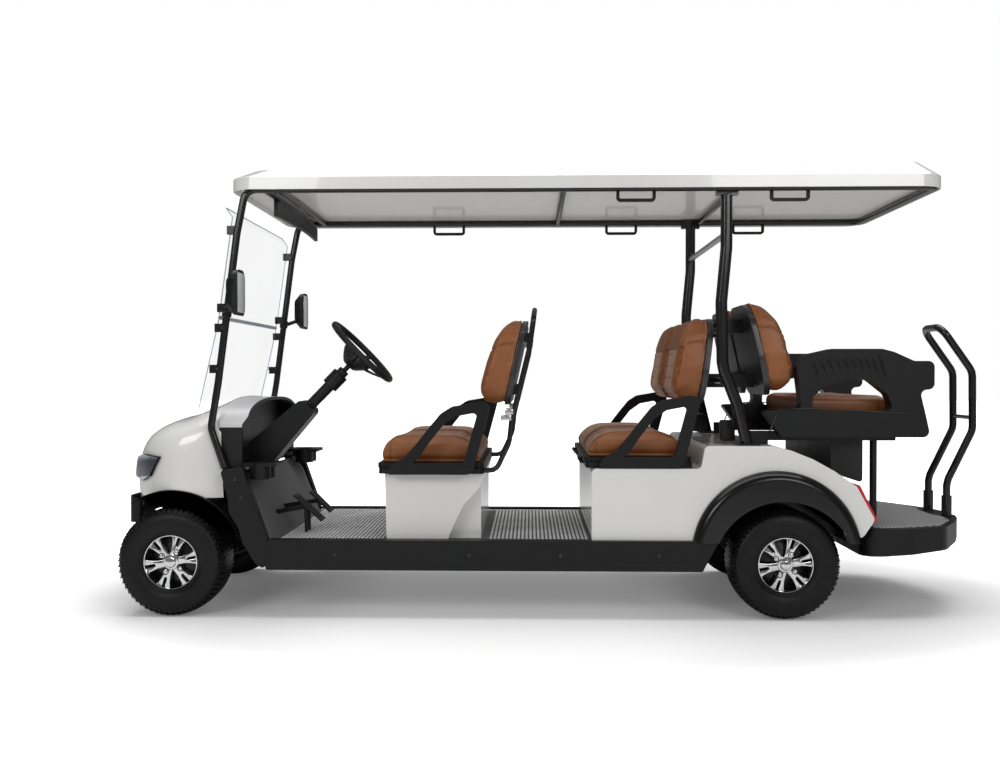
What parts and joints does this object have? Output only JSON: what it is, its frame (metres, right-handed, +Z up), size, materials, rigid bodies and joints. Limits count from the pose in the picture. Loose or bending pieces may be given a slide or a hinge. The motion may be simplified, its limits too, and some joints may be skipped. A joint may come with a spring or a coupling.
{
  "type": "six-seat electric golf cart",
  "caption": "Long electric golf cart with two forward benches, a rear-facing flip bench over a footplate, a flat canopy roof and a two-pane windshield.",
  "frame": {"origin": "middle of the overall length and width, on the ground under the tyres", "axes": "+X forward, +Y to the cart's left, +Z up"},
  "size_m": [3.8619, 1.42, 1.921],
  "materials": {
    "white_body": "gloss",
    "black_plastic": "satin",
    "gloss_black_plastic": "gloss",
    "black_steel": "satin powder coat",
    "brown_leather": "grained, semi-matt",
    "deck_grey": "ribbed",
    "clear_pane": "clear",
    "lamp_clear": "clear lens",
    "lamp_red": "red lens",
    "bright_steel": "brushed",
    "tyre_rubber": "matt",
    "wheel_alloy": "machined faces, black pockets"
  },
  "bodies": {
    "chassis": {"frame": "black_steel", "front_suspension": "black_steel", "rear_axle": "black_steel", "rear_springs": "black_steel", "floor_pan": "deck_grey", "sills": "black_plastic", "quarter_covers": "black_plastic", "front_cowl": "white_body", "headlamps": "lamp_clear", "front_bumper": "black_plastic", "dash": "black_plastic", "cup_holders": "black_plastic", "steering_column": "black_plastic", "pedals": "black_steel", "canopy_frame": "black_steel", "windshield": "clear_pane", "roof": "white_body", "roof_handles": "black_plastic", "mirrors": "black_plastic", "front_pedestal": "white_body", "battery_pack": "black_steel", "seat_rings": "black_plastic", "armrests": "black_plastic", "front_backs": "brown_leather", "middle_backs": "brown_leather", "rear_backs": "brown_leather", "back_shells": "black_plastic", "front_hoop": "black_steel", "rear_pillars": "black_steel", "canopy_brace": "bright_steel", "rear_body": "white_body", "wheel_flares": "gloss_black_plastic", "tail_lamps": "lamp_red", "rear_seat_frame": "black_steel", "rear_tray": "black_plastic", "footplate": "black_plastic", "grab_handle": "black_steel"},
    "knuckle_left": {"knuckle_left": "black_steel"},
    "knuckle_right": {"knuckle_right": "black_steel"},
    "track_rod": {"track_rod": "black_steel"},
    "steering_wheel": {"steering_wheel": "black_plastic"},
    "front_seat": {"front_seat_lid": "black_plastic", "front_cushion": "brown_leather"},
    "middle_seat": {"middle_seat_lid": "black_plastic", "middle_cushion": "brown_leather"},
    "rear_seat": {"rear_seat_board": "black_plastic", "rear_cushion": "brown_leather"},
    "wheel_front_left": {"tyre_front_left": "tyre_rubber", "rim_front_left": "wheel_alloy"},
    "wheel_front_right": {"tyre_front_right": "tyre_rubber", "rim_front_right": "wheel_alloy"},
    "wheel_rear_left": {"tyre_rear_left": "tyre_rubber", "rim_rear_left": "wheel_alloy"},
    "wheel_rear_right": {"tyre_rear_right": "tyre_rubber", "rim_rear_right": "wheel_alloy"}
  },
  "joints": [
    {"name": "wheel_front_left_spin", "type": "hinge", "parent": "knuckle_left", "child": "wheel_front_left", "pos_m": [1.63, 0.4825, 0.23], "axis": [0, 1, 0], "continuous": true},
    {"name": "wheel_front_right_spin", "type": "hinge", "parent": "knuckle_right", "child": "wheel_front_right", "pos_m": [1.63, -0.4825, 0.23], "axis": [0, 1, 0], "continuous": true},
    {"name": "wheel_rear_left_spin", "type": "hinge", "parent": "chassis", "child": "wheel_rear_left", "pos_m": [-0.96, 0.4825, 0.23], "axis": [0, 1, 0], "continuous": true},
    {"name": "wheel_rear_right_spin", "type": "hinge", "parent": "chassis", "child": "wheel_rear_right", "pos_m": [-0.96, -0.4825, 0.23], "axis": [0, 1, 0], "continuous": true},
    {"name": "steering_wheel_turn", "type": "hinge", "parent": "chassis", "child": "steering_wheel", "pos_m": [0.858, 0.27, 1.128], "axis": [-0.6984, 0, 0.7157], "range_deg": [-480, 480]},
    {"name": "steer_left", "type": "hinge", "parent": "chassis", "child": "knuckle_left", "pos_m": [1.63, 0.4, 0.23], "axis": [0, 0, 1], "range_deg": [-30, 30]},
    {"name": "steer_right", "type": "hinge", "parent": "chassis", "child": "knuckle_right", "pos_m": [1.63, -0.4, 0.23], "axis": [0, 0, 1], "range_deg": [-30, 30]},
    {"name": "track_rod_pivot", "type": "hinge", "parent": "knuckle_left", "child": "track_rod", "pos_m": [1.558, 0.4, 0.203], "axis": [0, 0, 1], "range_deg": [-30, 30]},
    {"name": "front_seat_lift", "type": "hinge", "parent": "chassis", "child": "front_seat", "pos_m": [0.768, 0, 0.6273], "axis": [0, 1, 0], "range_deg": [0, 60]},
    {"name": "middle_seat_lift", "type": "hinge", "parent": "chassis", "child": "middle_seat", "pos_m": [-0.112, 0, 0.65442], "axis": [0, 1, 0], "range_deg": [0, 60]},
    {"name": "rear_seat_flip", "type": "hinge", "parent": "chassis", "child": "rear_seat", "pos_m": [-1.461, 0, 0.8323], "axis": [0, -1, 0], "range_deg": [0, 180]}
  ],
  "couplings": [
    {"joint": "steer_left", "follows": "steering_wheel_turn", "ratio": 0.0625},
    {"joint": "steer_right", "follows": "steering_wheel_turn", "ratio": 0.0625},
    {"joint": "track_rod_pivot", "follows": "steering_wheel_turn", "ratio": -0.0625}
  ]
}
